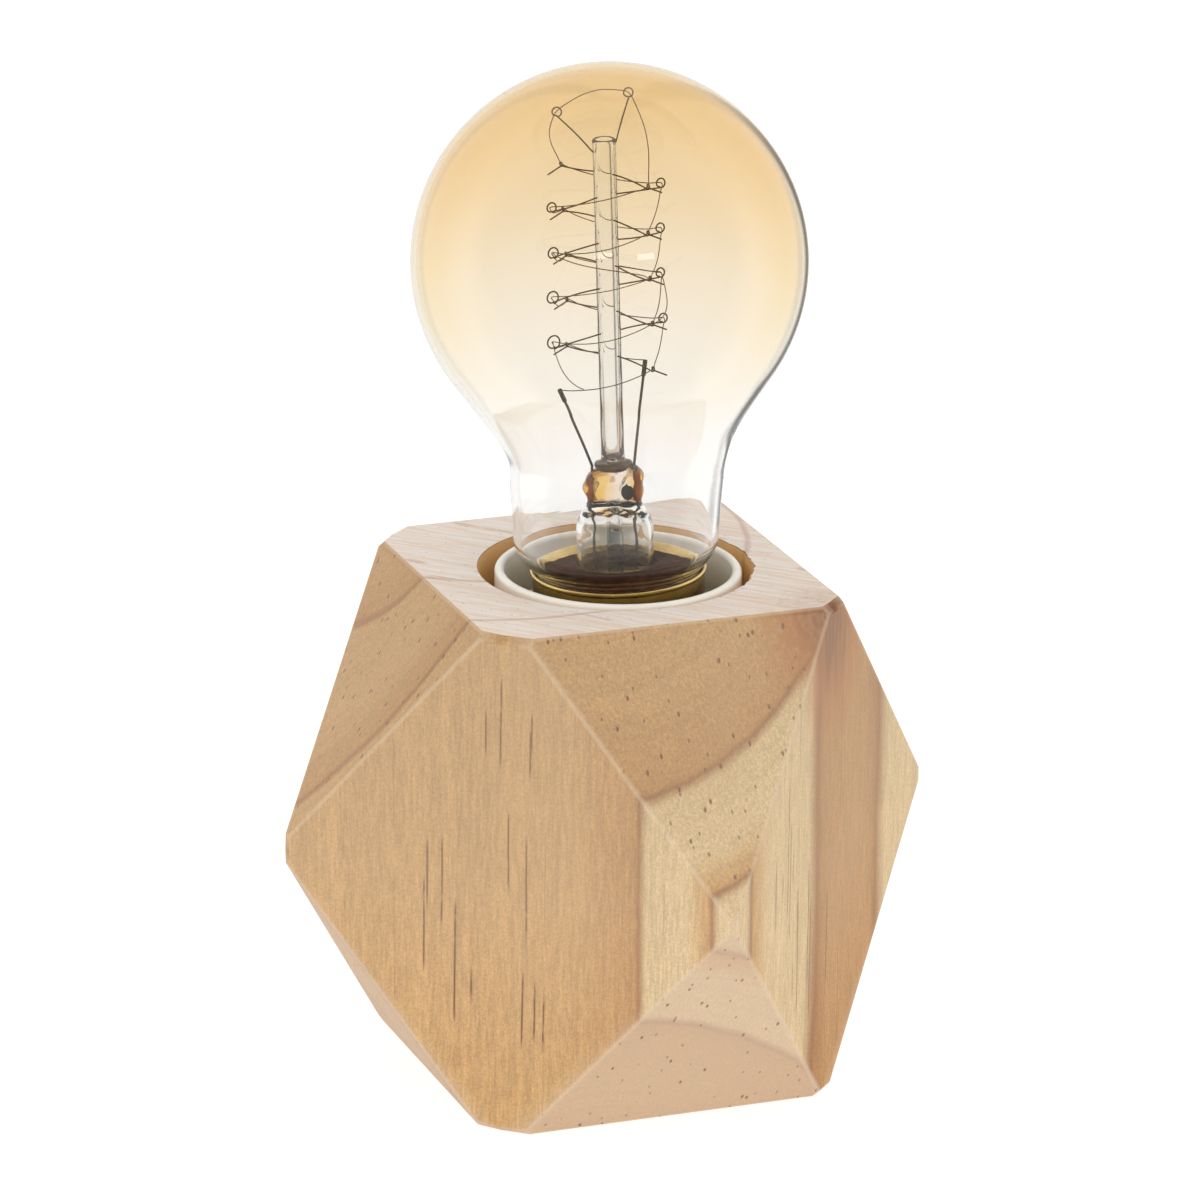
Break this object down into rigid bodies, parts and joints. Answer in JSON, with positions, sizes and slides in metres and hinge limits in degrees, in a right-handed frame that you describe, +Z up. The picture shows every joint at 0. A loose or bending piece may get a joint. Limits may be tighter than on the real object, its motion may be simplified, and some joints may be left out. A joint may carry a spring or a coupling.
{
  "type": "bare bulb table lamp",
  "caption": "Table lamp: a faceted block of pale wood with a plain lampholder sunk in its top and a clear globe filament bulb standing bare in it.",
  "frame": {"origin": "on the table, under the middle of the wooden block", "axes": "+Z up; -Y is the upright face to the left of the corner that faces the viewer, +X the upright face to its right; the cord inlet is in the back face, +Y"},
  "size_m": [0.075, 0.075, 0.1581],
  "materials": {
    "wood": "unfinished, fine sanded",
    "felt": "felt",
    "holder_plastic": "smooth",
    "insert": "ceramic-like",
    "zinc": "zinc plated",
    "shell_metal": "drawn",
    "contact_metal": "spring bronze",
    "terminal_brass": "machined",
    "cap_metal": "bright",
    "amber_glass": "clear, amber tint",
    "stem_glass": "clear",
    "black_glass": "opaque, fused",
    "solder": "dull",
    "cement": "burnt cement",
    "wire": "drawn",
    "carbon": "carbonised"
  },
  "bodies": {
    "base": {"wood_block": "wood", "felt_pad": "felt", "cord_inlet_bush": "holder_plastic", "nipple": "zinc", "flat_washer": "zinc", "spring_washer": "zinc", "hex_nut": "zinc", "holder_cap": "holder_plastic", "holder_skirt": "holder_plastic", "contact_insert": "insert", "screw_shell": "shell_metal", "centre_foot": "contact_metal", "side_contact": "contact_metal", "contact_rivets": "contact_metal", "terminal_blocks": "terminal_brass", "terminal_screws": "zinc"},
    "contact_leaf": {"centre_contact": "contact_metal"},
    "bulb_tip": {"contact_tip": "solder"},
    "bulb": {"bulb_glass": "amber_glass", "bulb_cap": "cap_metal", "cap_insulator": "black_glass", "side_solder": "solder", "capping_cement": "cement", "stem_flare": "stem_glass", "exhaust_tube": "stem_glass", "arbor_tube": "stem_glass", "support_wires_left": "wire", "support_wires_right": "wire", "lead_wires": "wire", "lead_crimps": "wire", "filament": "carbon"}
  },
  "joints": [
    {"name": "bulb_lift", "type": "slide", "parent": "base", "child": "bulb_tip", "axis": [0, 0, 1], "range_m": [0, 0.0109]},
    {"name": "bulb_turn", "type": "hinge", "parent": "bulb_tip", "child": "bulb", "pos_m": [0.001, 0, 0.0797], "axis": [0, 0, 1], "range_deg": [0, 1080]},
    {"name": "contact_flex", "type": "hinge", "parent": "base", "child": "contact_leaf", "pos_m": [-0.0046, 0, 0.05097], "axis": [0, 1, 0], "range_deg": [0, 3], "stiffness_Nm_per_rad": 0.02}
  ],
  "couplings": [
    {"joint": "bulb_lift", "follows": "bulb_turn", "m_per_rad": 0.00057773}
  ]
}
